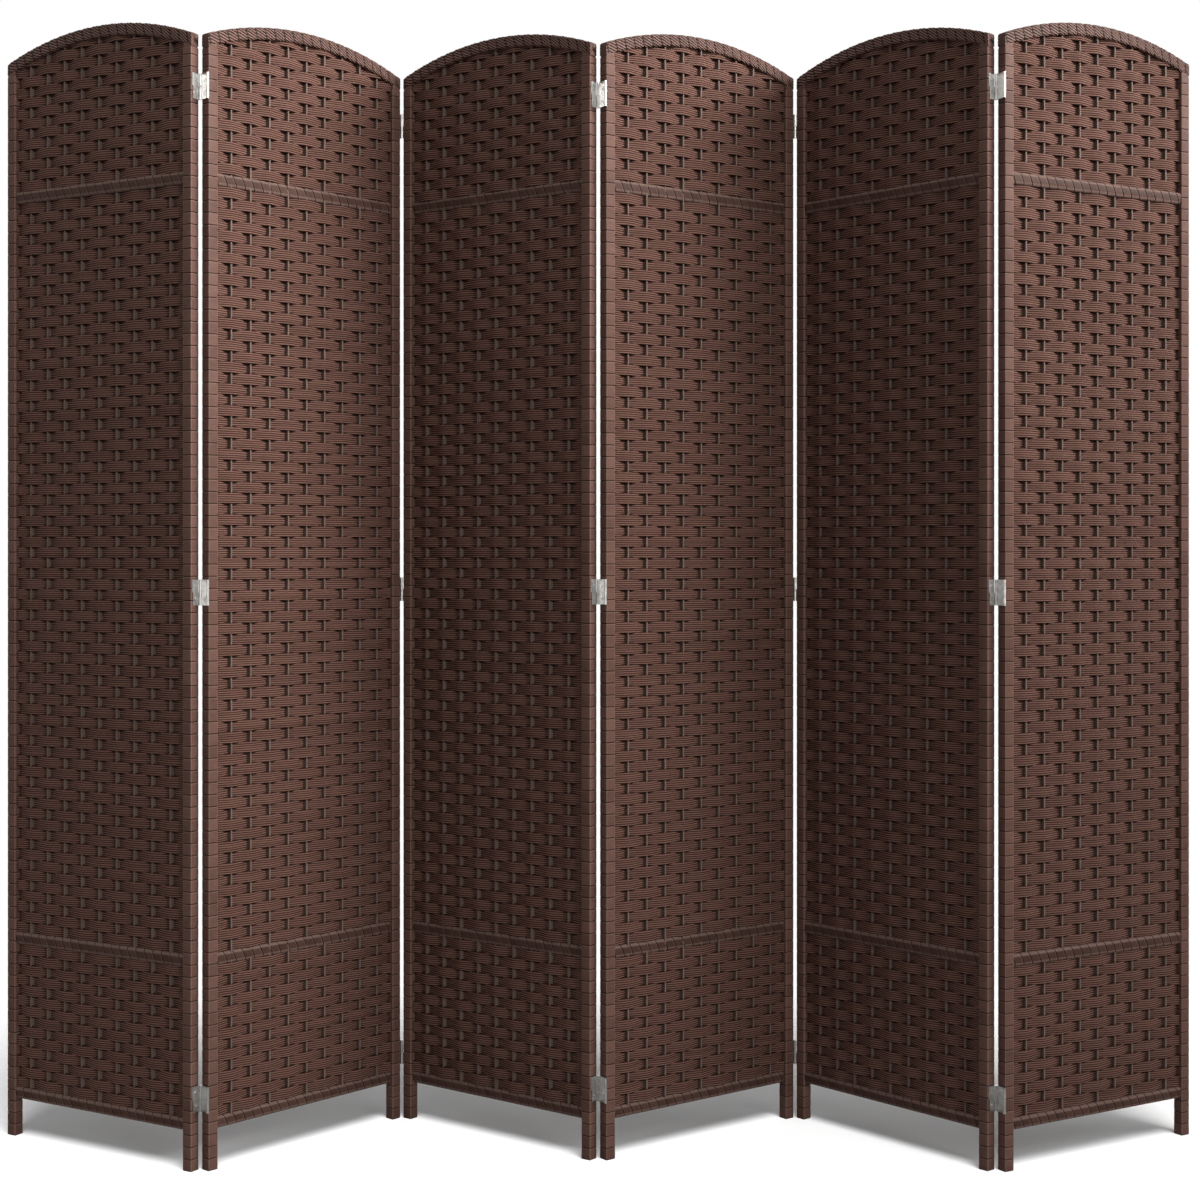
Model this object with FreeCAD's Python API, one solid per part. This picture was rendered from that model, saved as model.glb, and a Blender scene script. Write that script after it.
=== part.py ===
import FreeCAD, Part
import math
import os

# A free-standing screen of six arched frames with woven infill.
# Three-leaf hinges join the frames, so that it folds both ways.
# Millimetres, Z up, floor at Z = 0. Each panel is drawn in its own frame: u along its width from
# the left outer edge, v towards its back from its middle plane, z up from the floor.

# Panel outline
PANEL_WIDTH = 400.0
CROWN_HEIGHT = 1800.0
ARCH_RISE = 37.0

# Posts and rails
POST_WIDTH = 17.5
POST_DEPTH = 17.5
POST_CHAMFER = 1.5
TOP_RAIL_HEIGHT = 20.0
CROSS_RAIL_HEIGHT = 20.0
BOTTOM_RAIL_HEIGHT = 19.0
RAIL_RECESS = 1.25
FOOT_HEIGHT = 61.5
LOWER_RAIL_CENTRE = 325.0
UPPER_RAIL_DROP = 260.0
TENON_LENGTH = 8.0
TENON_HEIGHT = 9.0
TENON_DEPTH = 8.0
TENON_CLEARANCE = 0.2

# Warp sticks and the weave round them
STICK_COUNT = 9
STICK_WIDTH = 2.8
STICK_DEPTH = 6.8
STICK_END_BAY = 30.5
STICK_SEAT = 5.0
STICK_CLEARANCE = 0.3
WEAVE_DEPTH = 11.6
WEAVE_CLEARANCE = 0.3

# Hinges
HINGE_LENGTH = 40.0
HINGE_GAP = 5.2
BOTTOM_HINGE_HEIGHT = 111.0
TOP_HINGE_DROP = 60.5
LEAF_THICKNESS = 1.0
LEAF_NOTCH = 2.0
PIN_RADIUS = 1.2
PIN_CLEARANCE = 0.05
PIN_STANDOFF = 0.5
BARREL_CLEARANCE = 0.3
BARREL_END_PLAY = 0.3

# How far each pair of panels is folded as the screen stands, in degrees from one flat wall
OUTER_RIDGE_ANGLE = 78.8
VALLEY_ANGLE = 85.4
CENTRE_RIDGE_ANGLE = 74.6
REST_ANGLES = (OUTER_RIDGE_ANGLE, -VALLEY_ANGLE, CENTRE_RIDGE_ANGLE, -VALLEY_ANGLE, OUTER_RIDGE_ANGLE)

# Worked out from the sizes above
MIDDLE = PANEL_WIDTH / 2
OPENING_LEFT = POST_WIDTH
OPENING_RIGHT = PANEL_WIDTH - POST_WIDTH
ARCH_RADIUS = (MIDDLE**2 + ARCH_RISE**2) / (2 * ARCH_RISE)
ARCH_CENTRE_HEIGHT = CROWN_HEIGHT - ARCH_RADIUS
UNDERSIDE_RADIUS = ARCH_RADIUS - TOP_RAIL_HEIGHT
CROSS_RAIL_DEPTH = POST_DEPTH - 2 * RAIL_RECESS
BOTTOM_RAIL = (FOOT_HEIGHT, FOOT_HEIGHT + BOTTOM_RAIL_HEIGHT)
LOWER_RAIL = (LOWER_RAIL_CENTRE - CROSS_RAIL_HEIGHT / 2, LOWER_RAIL_CENTRE + CROSS_RAIL_HEIGHT / 2)
UPPER_RAIL_CENTRE = CROWN_HEIGHT - UPPER_RAIL_DROP
UPPER_RAIL = (UPPER_RAIL_CENTRE - CROSS_RAIL_HEIGHT / 2, UPPER_RAIL_CENTRE + CROSS_RAIL_HEIGHT / 2)
FIRST_STICK = OPENING_LEFT + STICK_END_BAY
LAST_STICK = OPENING_RIGHT - STICK_END_BAY
STICK_PITCH = (LAST_STICK - FIRST_STICK) / (STICK_COUNT - 1)
SLOT_LEFT = FIRST_STICK - STICK_WIDTH / 2 - STICK_CLEARANCE
SLOT_RIGHT = LAST_STICK + STICK_WIDTH / 2 + STICK_CLEARANCE
SLOT_DEPTH = STICK_DEPTH + 2 * STICK_CLEARANCE
PANEL_PITCH = PANEL_WIDTH + HINGE_GAP
PIN_OFFSET = POST_DEPTH / 2 + PIN_STANDOFF
BARREL_RADIUS = HINGE_GAP / 2 - BARREL_CLEARANCE
LEAF_EDGE = PIN_OFFSET - BARREL_RADIUS - BARREL_CLEARANCE
UP = FreeCAD.Vector(0, 0, 1)


def arch_height(radius, u):
    """Height of the arc of this radius, concentric with the arched top, at the point u of the width."""
    return ARCH_CENTRE_HEIGHT + math.sqrt(radius**2 - (u - MIDDLE) ** 2)


POST_TOP = arch_height(UNDERSIDE_RADIUS, 0)
TOP_HINGE_HEIGHT = POST_TOP - TOP_HINGE_DROP
HINGE_HEIGHTS = (BOTTOM_HINGE_HEIGHT, (BOTTOM_HINGE_HEIGHT + TOP_HINGE_HEIGHT) / 2, TOP_HINGE_HEIGHT)


def block(u_range, v_range, z_range):
    """A box between two values along each axis."""
    corner = FreeCAD.Vector(u_range[0], v_range[0], z_range[0])
    sides = [end - start for start, end in (u_range, v_range, z_range)]
    return Part.makeBox(*sides, corner)


def centred(depth):
    """The range of this depth about the panel's middle plane."""
    return (-depth / 2, depth / 2)


def arc(radius, u_start, u_end):
    """The edge along the arc of this radius between two points of the panel's width."""
    ends = [FreeCAD.Vector(u, 0, arch_height(radius, u)) for u in (u_start, u_end)]
    crown = FreeCAD.Vector(MIDDLE, 0, arch_height(radius, MIDDLE))
    return Part.Arc(ends[0], crown, ends[1]).toShape()


def lines(*points):
    """The straight edges through these (u, z) points."""
    corners = [FreeCAD.Vector(u, 0, z) for u, z in points]
    return [Part.makeLine(start, end) for start, end in zip(corners, corners[1:])]


def extruded(edges, depth):
    """The solid of this depth, centred on the panel's middle plane, with these edges as its outline."""
    face = Part.Face(Part.Wire(Part.__sortEdges__(edges)))
    solid = face.extrude(FreeCAD.Vector(0, depth, 0))
    solid.translate(FreeCAD.Vector(0, -depth / 2, 0))
    return solid


def under_arch(radius, u_range, bottom, depth):
    """A solid with an arched top of this radius, straight sides and a level bottom."""
    left, right = u_range
    sides = lines(
        (right, arch_height(radius, right)),
        (right, bottom),
        (left, bottom),
        (left, arch_height(radius, left)),
    )
    return extruded([arc(radius, left, right)] + sides, depth)


def tenons(rail, clearance):
    """The stub tenons at both ends of a rail, or with a clearance the mortises that they enter."""
    middle = sum(rail) / 2
    reach = TENON_LENGTH + clearance
    height = (middle - TENON_HEIGHT / 2 - clearance, middle + TENON_HEIGHT / 2 + clearance)
    depth = centred(TENON_DEPTH + 2 * clearance)
    left = block((OPENING_LEFT - reach, OPENING_LEFT), depth, height)
    right = block((OPENING_RIGHT, OPENING_RIGHT + reach), depth, height)
    return [left, right]


def post(u_range):
    """A post from the floor to the seat of the top rail, with mortises for the cross rails."""
    blank = block(u_range, centred(POST_DEPTH), (0, POST_TOP))
    corners = [edge for edge in blank.Edges if abs(edge.tangentAt(edge.FirstParameter).dot(UP)) > 0.5]
    shape = blank.makeChamfer(POST_CHAMFER, corners)
    for rail in (BOTTOM_RAIL, LOWER_RAIL, UPPER_RAIL):
        shape = shape.cut(tenons(rail, TENON_CLEARANCE))
    return shape.Solids[0]


def top_rail():
    """The arched rail, which stands on both posts and is grooved for the upper ends of the sticks."""
    outline = [arc(ARCH_RADIUS, 0, PANEL_WIDTH), arc(UNDERSIDE_RADIUS, OPENING_LEFT, OPENING_RIGHT)]
    outline += lines(
        (0, arch_height(ARCH_RADIUS, 0)),
        (0, POST_TOP),
        (OPENING_LEFT, POST_TOP),
        (OPENING_LEFT, arch_height(UNDERSIDE_RADIUS, OPENING_LEFT)),
    )
    outline += lines(
        (PANEL_WIDTH, arch_height(ARCH_RADIUS, PANEL_WIDTH)),
        (PANEL_WIDTH, POST_TOP),
        (OPENING_RIGHT, POST_TOP),
        (OPENING_RIGHT, arch_height(UNDERSIDE_RADIUS, OPENING_RIGHT)),
    )
    groove = under_arch(UNDERSIDE_RADIUS + STICK_SEAT, (SLOT_LEFT, SLOT_RIGHT), POST_TOP, SLOT_DEPTH)
    return extruded(outline, POST_DEPTH).cut(groove).Solids[0]


def cross_rail(rail, slot_bottom):
    """A rail between the posts with its tenons, slotted for the sticks from its top to slot_bottom."""
    bar = block((OPENING_LEFT, OPENING_RIGHT), centred(CROSS_RAIL_DEPTH), rail)
    slot = block((SLOT_LEFT, SLOT_RIGHT), centred(SLOT_DEPTH), (slot_bottom, rail[1]))
    return bar.fuse(tenons(rail, 0)).cut(slot).removeSplitter().Solids[0]


def cross_rails():
    """The upper and lower rails, which the sticks pass, and the bottom rail, which they stand in."""
    passed = [cross_rail(rail, rail[0]) for rail in (UPPER_RAIL, LOWER_RAIL)]
    return passed + [cross_rail(BOTTOM_RAIL, BOTTOM_RAIL[1] - STICK_SEAT)]


def warp_sticks():
    """The upright sticks, from their seat in the bottom rail to the groove of the top rail."""
    sticks = []
    for index in range(STICK_COUNT):
        centre = FIRST_STICK + index * STICK_PITCH
        side = (centre - STICK_WIDTH / 2, centre + STICK_WIDTH / 2)
        ceiling = min(arch_height(UNDERSIDE_RADIUS + STICK_SEAT, u) for u in side)
        height = (BOTTOM_RAIL[1] - STICK_SEAT, ceiling - STICK_CLEARANCE)
        sticks.append(block(side, centred(STICK_DEPTH), height))
    return sticks


def weave():
    """The three woven fields, each one sheet round all the sticks that rests on the rail below it."""
    width = (OPENING_LEFT + WEAVE_CLEARANCE, OPENING_RIGHT - WEAVE_CLEARANCE)
    lower = block(width, centred(WEAVE_DEPTH), (BOTTOM_RAIL[1], LOWER_RAIL[0] - WEAVE_CLEARANCE))
    middle = block(width, centred(WEAVE_DEPTH), (LOWER_RAIL[1], UPPER_RAIL[0] - WEAVE_CLEARANCE))
    upper = under_arch(UNDERSIDE_RADIUS - WEAVE_CLEARANCE, width, UPPER_RAIL[1], WEAVE_DEPTH)
    slot = block((SLOT_LEFT, SLOT_RIGHT), centred(SLOT_DEPTH), (0, CROWN_HEIGHT))
    return [field.cut(slot).Solids[0] for field in (lower, middle, upper)]


def barrel(radius, v, z_range):
    """An upright cylinder about the pin v behind the middle plane, half-way across the hinge's gap."""
    foot = FreeCAD.Vector(HINGE_GAP / 2, v, z_range[0])
    return Part.makeCylinder(radius, z_range[1] - z_range[0], foot, UP)


def outer_leaf():
    """The leaf of the left-hand post, from u = 0 on its edge and z = 0 at mid-height, on the back pin."""
    foot = -HINGE_LENGTH / 2
    barrel_top = -BARREL_END_PLAY / 2
    thickness = (0, LEAF_THICKNESS)
    plate = block(thickness, (-LEAF_EDGE, LEAF_EDGE), (foot, -foot))
    notch = block(thickness, (-LEAF_EDGE, -LEAF_EDGE + LEAF_NOTCH), (foot, 0))
    tongue = block(thickness, (LEAF_EDGE, PIN_OFFSET), (foot, barrel_top))
    rolled = barrel(BARREL_RADIUS, PIN_OFFSET, (foot, barrel_top))
    bore = barrel(PIN_RADIUS + PIN_CLEARANCE, PIN_OFFSET, (foot, barrel_top))
    return plate.cut(notch).fuse([tongue, rolled]).cut(bore).removeSplitter().Solids[0]


def middle_leaf():
    """The loose leaf between the two posts, with a barrel above each outer leaf's barrel."""
    head = HINGE_LENGTH / 2
    barrel_foot = BARREL_END_PLAY / 2
    thickness = ((HINGE_GAP - LEAF_THICKNESS) / 2, (HINGE_GAP + LEAF_THICKNESS) / 2)
    plate = block(thickness, (-LEAF_EDGE, LEAF_EDGE), (-head, head))
    tongues = block(thickness, (-PIN_OFFSET, PIN_OFFSET), (barrel_foot, head))
    bore_radius = PIN_RADIUS + PIN_CLEARANCE
    rolled = [barrel(BARREL_RADIUS, v, (barrel_foot, head)) for v in (-PIN_OFFSET, PIN_OFFSET)]
    bores = [barrel(bore_radius, v, (barrel_foot, head)) for v in (-PIN_OFFSET, PIN_OFFSET)]
    return plate.fuse([tongues] + rolled).cut(bores).removeSplitter().Solids[0]


def pins():
    """The front and back pins of one hinge, each through the barrels of two leaves."""
    head = HINGE_LENGTH / 2
    return [barrel(PIN_RADIUS, v, (-head, head)) for v in (-PIN_OFFSET, PIN_OFFSET)]


def on_hinge_heights(solids, edge):
    """Copies of a hinge's solids at each hinge's height, with its origin at this edge of the panel."""
    copies = []
    for height in HINGE_HEIGHTS:
        for solid in solids:
            copy = solid.copy()
            copy.translate(FreeCAD.Vector(edge, 0, height))
            copies.append(copy)
    return copies


def shifted(u):
    """The placement that moves a frame along its own width."""
    return FreeCAD.Placement(FreeCAD.Vector(u, 0, 0), FreeCAD.Rotation())


def folded(fold):
    """The placement that folds what lies right of a hinge: ridges on its back pin, valleys on its front."""
    pin = FreeCAD.Vector(PANEL_WIDTH + HINGE_GAP / 2, math.copysign(PIN_OFFSET, fold), 0)
    return FreeCAD.Placement(FreeCAD.Vector(), FreeCAD.Rotation(UP, fold), pin)


def standing_frames():
    """The frames of the panels and the middle leaves as the screen stands, centre ridge forwards."""
    centre = len(REST_ANGLES) // 2
    heading = -REST_ANGLES[centre] / 2 - sum(REST_ANGLES[:centre])
    panels = [FreeCAD.Placement(FreeCAD.Vector(), FreeCAD.Rotation(UP, heading))]
    links = []
    for fold in REST_ANGLES:
        left = panels[-1]
        turned = left.multiply(folded(fold))
        links.append(turned if fold > 0 else left)
        panels.append(turned.multiply(shifted(PANEL_PITCH)))
    return panels, links


def panel_pieces():
    """The pieces that every panel has, by name, in the panel's own frame."""
    return {
        "left_post": [post((0, OPENING_LEFT))],
        "right_post": [post((OPENING_RIGHT, PANEL_WIDTH))],
        "top_rail": [top_rail()],
        "cross_rails": cross_rails(),
        "warp_sticks": warp_sticks(),
        "weave": weave(),
    }


def placed(solids, frame):
    """The node's shape: its solids moved from their own frame to where they stand."""
    moved = [solid.transformed(frame.toMatrix()) for solid in solids]
    return moved[0] if len(moved) == 1 else Part.makeCompound(moved)


def screen_nodes():
    """Every node of the standing screen by name, before it is centred on the origin."""
    panels, links = standing_frames()
    pieces = panel_pieces()
    nodes = {}
    for number, frame in enumerate(panels, start=1):
        for name, solids in pieces.items():
            nodes[f"panel_{number}_{name}"] = placed(solids, frame)
    left_leaf = outer_leaf()
    right_leaf = left_leaf.copy()
    right_leaf.rotate(FreeCAD.Vector(HINGE_GAP / 2, 0, 0), UP, 180)
    left_leaves = on_hinge_heights([left_leaf], PANEL_WIDTH)
    middle_leaves = on_hinge_heights([middle_leaf()], PANEL_WIDTH)
    link_pins = on_hinge_heights(pins(), PANEL_WIDTH)
    right_leaves = on_hinge_heights([right_leaf], -HINGE_GAP)
    for index, link in enumerate(links):
        hinge = f"hinge_{index + 1}_{index + 2}"
        nodes[f"{hinge}_left_leaves"] = placed(left_leaves, panels[index])
        nodes[f"{hinge}_middle_leaves"] = placed(middle_leaves, link)
        nodes[f"{hinge}_pins"] = placed(link_pins, link)
        nodes[f"{hinge}_right_leaves"] = placed(right_leaves, panels[index + 1])
    return nodes


def origin_of(nodes):
    """The middle of the bottom of the box round the whole screen."""
    box = Part.makeCompound(list(nodes.values())).optimalBoundingBox(False, False)
    return FreeCAD.Vector(box.Center.x, box.Center.y, box.ZMin)


NODES = screen_nodes()
ORIGIN = origin_of(NODES)

os.makedirs("parts", exist_ok=True)
for node_name, node_shape in NODES.items():
    node_shape.translate(-ORIGIN)
    node_shape.exportStep(f"parts/{node_name}.step")
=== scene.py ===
"""Looks of the woven folding screen: wound posts and rails, woven fields and hinge screws.

Lengths are in metres. In a panel's own frame u runs along its width from the left edge, v to its back
and z up.
"""

import itertools
import logging
import math
import random
from collections.abc import Iterable
from dataclasses import dataclass, field
from enum import Enum
from functools import cache
from typing import NamedTuple

import bmesh
import bpy
from bpy.types import ID, Light, Material, Node, NodeSocket, Object, World
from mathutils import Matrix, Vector


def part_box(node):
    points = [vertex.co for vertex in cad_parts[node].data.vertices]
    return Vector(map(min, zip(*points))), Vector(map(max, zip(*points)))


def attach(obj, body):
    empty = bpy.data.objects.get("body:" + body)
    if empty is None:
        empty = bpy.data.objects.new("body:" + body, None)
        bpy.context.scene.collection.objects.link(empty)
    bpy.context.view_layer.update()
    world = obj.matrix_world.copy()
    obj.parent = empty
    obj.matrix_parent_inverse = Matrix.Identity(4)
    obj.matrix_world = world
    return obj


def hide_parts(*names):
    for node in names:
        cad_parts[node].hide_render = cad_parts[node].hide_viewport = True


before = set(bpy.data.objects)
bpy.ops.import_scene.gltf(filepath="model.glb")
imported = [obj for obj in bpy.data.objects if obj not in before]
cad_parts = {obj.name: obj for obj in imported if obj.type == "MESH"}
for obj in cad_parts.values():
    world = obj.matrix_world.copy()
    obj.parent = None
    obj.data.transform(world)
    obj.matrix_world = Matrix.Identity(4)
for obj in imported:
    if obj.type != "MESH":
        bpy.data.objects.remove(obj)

LOG = logging.getLogger("folding_screen")
MM = 0.001
LAY = "lay"
SIDES = 4
PANEL_COUNT = 6
MERGE_DISTANCE = 0.002 * MM
ROUGHNESS_SHARE = 0.2
# how dark the painted shade in the seams between turns and bands is
SEAM_SHADE_SHARE = 0.95
# how near a panel's edge the end of its arched rail is measured
EDGE_STRIP = 1 * MM
# the least clear length between two pieces of a kind
STICK_GAP = 10 * MM
RAIL_GAP = 50 * MM
LEAF_GAP = 100 * MM

Span = tuple[float, float]
Colour = tuple[float, float, float]
Point = tuple[float, float, float]
# a place, and where it lies on the UV map
Spot = tuple[Vector, Span]


class Side(Enum):
    """The two upright edges of a panel."""

    LEFT = "left"
    RIGHT = "right"


class Slot(Enum):
    """The names of the record's material slots."""

    WRAP = "ribbon_wrapped_wood"
    CORD = "paper_cord"
    STEEL = "plated_steel"


class Value:
    """A node socket that carries a number, and whose operators add Math nodes."""

    def __init__(self, shader: "NodeTree", socket: NodeSocket) -> None:
        """Keeps the shader that the nodes go into and the socket."""
        self.shader = shader
        self.socket = socket

    def __add__(self, other: "Value | float") -> "Value":
        """The sum."""
        return self.shader.math("ADD", self, other)

    __radd__ = __add__

    def __sub__(self, other: "Value | float") -> "Value":
        """The difference."""
        return self.shader.math("SUBTRACT", self, other)

    def __rsub__(self, other: float) -> "Value":
        """The difference, the other way round."""
        return self.shader.math("SUBTRACT", other, self)

    def __mul__(self, other: "Value | float") -> "Value":
        """The product."""
        return self.shader.math("MULTIPLY", self, other)

    def __abs__(self) -> "Value":
        """The size without its sign."""
        return self.shader.math("ABSOLUTE", self)

    def floor(self) -> "Value":
        """The whole number below."""
        return self.shader.math("FLOOR", self)

    def fraction(self) -> "Value":
        """What is left above the whole number below."""
        return self.shader.math("FRACT", self)

    def sine(self) -> "Value":
        """The sine of an angle in radians."""
        return self.shader.math("SINE", self)

    def least(self, other: "Value | float") -> "Value":
        """The smaller of two."""
        return self.shader.math("MINIMUM", self, other)

    def swing(self, share: float) -> "Value":
        """A value from 0 to 1 as a swing to both sides of zero."""
        return (self - 0.5) * share

    def ramp(self, start: float, end: float, low: float = 0.0, high: float = 1.0) -> "Value":
        """A smooth step between two values.

        Args:
            start: Where the step begins.
            end: Where it ends.
            low: The result before start.
            high: The result after end.

        Returns:
            The stepped value.
        """
        settings = {"interpolation_type": "SMOOTHSTEP"}
        sockets = {0: self, 1: start, 2: end, 3: low, 4: high}
        return Value(self.shader, self.shader.node("ShaderNodeMapRange", settings, sockets).outputs[0])


class NodeTree:
    """A tree of shader nodes, which one method adds to."""

    def __init__(self, owner: Material | World) -> None:
        """Turns on the nodes of a material or a world."""
        owner.use_nodes = True
        self.tree = owner.node_tree

    def node(self, kind: str, settings: dict[str, object],
             sockets: dict[int | str, object]) -> Node:
        """Adds a node.

        Args:
            kind: The node's type.
            settings: Its own properties, which are set first.
            sockets: A value or a link for each input, by place or name.

        Returns:
            The node.
        """
        made = self.tree.nodes.new(kind)
        for name, value in settings.items():
            setattr(made, name, value)
        for key, value in sockets.items():
            self.feed(made.inputs[key], value)
        return made

    def feed(self, target: NodeSocket, value: object) -> None:
        """Links a socket to an input, or sets the input's own value.

        Args:
            target: The input.
            value: A Value, a socket, or plain numbers.
        """
        source = value.socket if isinstance(value, Value) else value
        if isinstance(source, NodeSocket):
            self.tree.links.new(source, target)
        else:
            target.default_value = source

    def math(self, operation: str, *operands: "Value | float") -> Value:
        """Adds a Math node and gives its result."""
        node = self.node("ShaderNodeMath", {"operation": operation}, dict(enumerate(operands)))
        return Value(self, node.outputs[0])


class Shader(NodeTree):
    """The node tree of one material, with its surface shader."""

    def __init__(self, name: str) -> None:
        """Makes the material and finds its surface shader.

        Args:
            name: The material's name.
        """
        self.material = bpy.data.materials.new(name)
        super().__init__(self.material)
        self.surface = self.tree.nodes["Principled BSDF"]

    def split(self, source: NodeSocket) -> list[Value]:
        """The three parts of a vector."""
        return [Value(self, part) for part in self.node("ShaderNodeSeparateXYZ", {}, {0: source}).outputs]

    def place(self) -> list[Value]:
        """The three Object coordinates, in metres."""
        return self.split(self.node("ShaderNodeTexCoord", {}, {}).outputs["Object"])

    def lay(self) -> list[Value]:
        """Where a point lies on the wound or woven material, by the two coordinates of its UV map."""
        return self.split(self.node("ShaderNodeUVMap", {"uv_map": LAY}, {}).outputs[0])[:2]

    def noise(self, x: "Value | float", y: "Value | float", z: "Value | float", detail: float = 2.0) -> Value:
        """Soft noise from 0 to 1.

        Args:
            x: First coordinate, in grains.
            y: Second coordinate.
            z: Third coordinate.
            detail: How many finer layers there are.

        Returns:
            The noise value.
        """
        spot = self.node("ShaderNodeCombineXYZ", {}, {0: x, 1: y, 2: z}).outputs[0]
        node = self.node("ShaderNodeTexNoise", {}, {"Vector": spot, "Scale": 1.0, "Detail": detail})
        return Value(self, node.outputs[0])

    def grain(self, across: float, along: float, detail: float = 2.0) -> Value:
        """Soft noise fixed in the piece, with so many grains in a metre across it and up it."""
        x, y, z = self.place()
        return self.noise(x * across, y * across, z * along, detail)

    def chance(self, number: Value) -> Value:
        """A random value from 0 to 1 for each number."""
        node = self.node("ShaderNodeTexWhiteNoise", {"noise_dimensions": "1D"}, {"W": number})
        return Value(self, node.outputs[0])

    def mix(self, share: Value, first: Colour | NodeSocket, second: Colour | NodeSocket) -> NodeSocket:
        """Mixes two colours.

        Args:
            share: How much of the second there is.
            first: The first colour, or a socket.
            second: The second colour, or a socket.

        Returns:
            The mixed colour's socket.
        """
        pair = [(*c, 1.0) if isinstance(c, tuple) else c for c in (first, second)]
        node = self.node("ShaderNodeMix", {"data_type": "RGBA"}, {0: share, 6: pair[0], 7: pair[1]})
        return node.outputs[2]

    def bump(self, height: Value, depth: float, strength: float) -> NodeSocket:
        """The normal of fine relief from 0 to 1, where 1 stands depth metres high."""
        node = self.node("ShaderNodeBump", {}, {"Height": height, "Distance": depth, "Strength": strength})
        return node.outputs[0]

    def blend(self, share: "Value | NodeSocket", first: Node, second: Node) -> Node:
        """Mixes two surface shaders by the second one's share."""
        sockets = {0: share, 1: first.outputs[0], 2: second.outputs[0]}
        return self.node("ShaderNodeMixShader", {}, sockets)

    def finish(self, **inputs: object) -> Material:
        """Feeds the surface shader.

        Args:
            **inputs: A value or a link for each input, by its name with underscores for spaces.

        Returns:
            The material.
        """
        for name, value in inputs.items():
            self.feed(self.surface.inputs[name.replace("_", " ")], value)
        return self.material


@dataclass(frozen=True)
class CordFinish:
    """Matt twisted paper cord, laid side by side in flat bands."""

    name: str = "paper_cord_bands"
    light: Colour = (0.203, 0.106, 0.082)
    dark: Colour = (0.045, 0.021, 0.016)
    # how far the crests are painted lighter than the valleys between cords: painted highlight and painted
    # shade
    painted_crest_start: float = 0.3
    painted_crest_share: float = 0.88
    cord_depth: float = 0.7 * MM
    fleck_length: float = 9 * MM
    flecks_per_cord: float = 1.7
    fleck_share: float = 0.5
    fleck_relief: float = 0.2
    twist_length: float = 2.6 * MM
    twist_relief: float = 0.05
    tone_share: float = 0.25
    relief: float = 0.75
    roughness: float = 0.62
    gloss: float = 0.04

    def material(self) -> Material:
        """Cords as ridges along the band, with flecks and twist, their crests painted lighter as a highlight
        and the valleys between them painted darker as shade.

        Returns:
            The material. Its UV map gives metres along the band and cords across it.
        """
        shader = Shader(self.name)
        along, across = shader.lay()
        ridge = abs((across * math.pi).sine())
        fleck = shader.noise(along * (1 / self.fleck_length), across * self.flecks_per_cord, 0.0, detail=3.0)
        twist = (along * (2 * math.pi / self.twist_length) + across * (2 * math.pi)).sine() * 0.5 + 0.5
        tone = shader.chance(across.floor())
        # painted highlight on the cords' crests and painted shade in the valleys between them
        crest = ridge.ramp(self.painted_crest_start, 1.0, 0.0, self.painted_crest_share)
        share = crest + fleck.swing(self.fleck_share) + tone.swing(self.tone_share)
        colour = shader.mix(share.ramp(0.0, 1.0), self.dark, self.light)
        height = ridge + twist * self.twist_relief + fleck * self.fleck_relief
        roughness = self.roughness + fleck.swing(ROUGHNESS_SHARE)
        normal = shader.bump(height, self.cord_depth, self.relief)
        return shader.finish(
            Base_Color=colour, Roughness=roughness, Normal=normal, Specular_IOR_Level=self.gloss)


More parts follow.
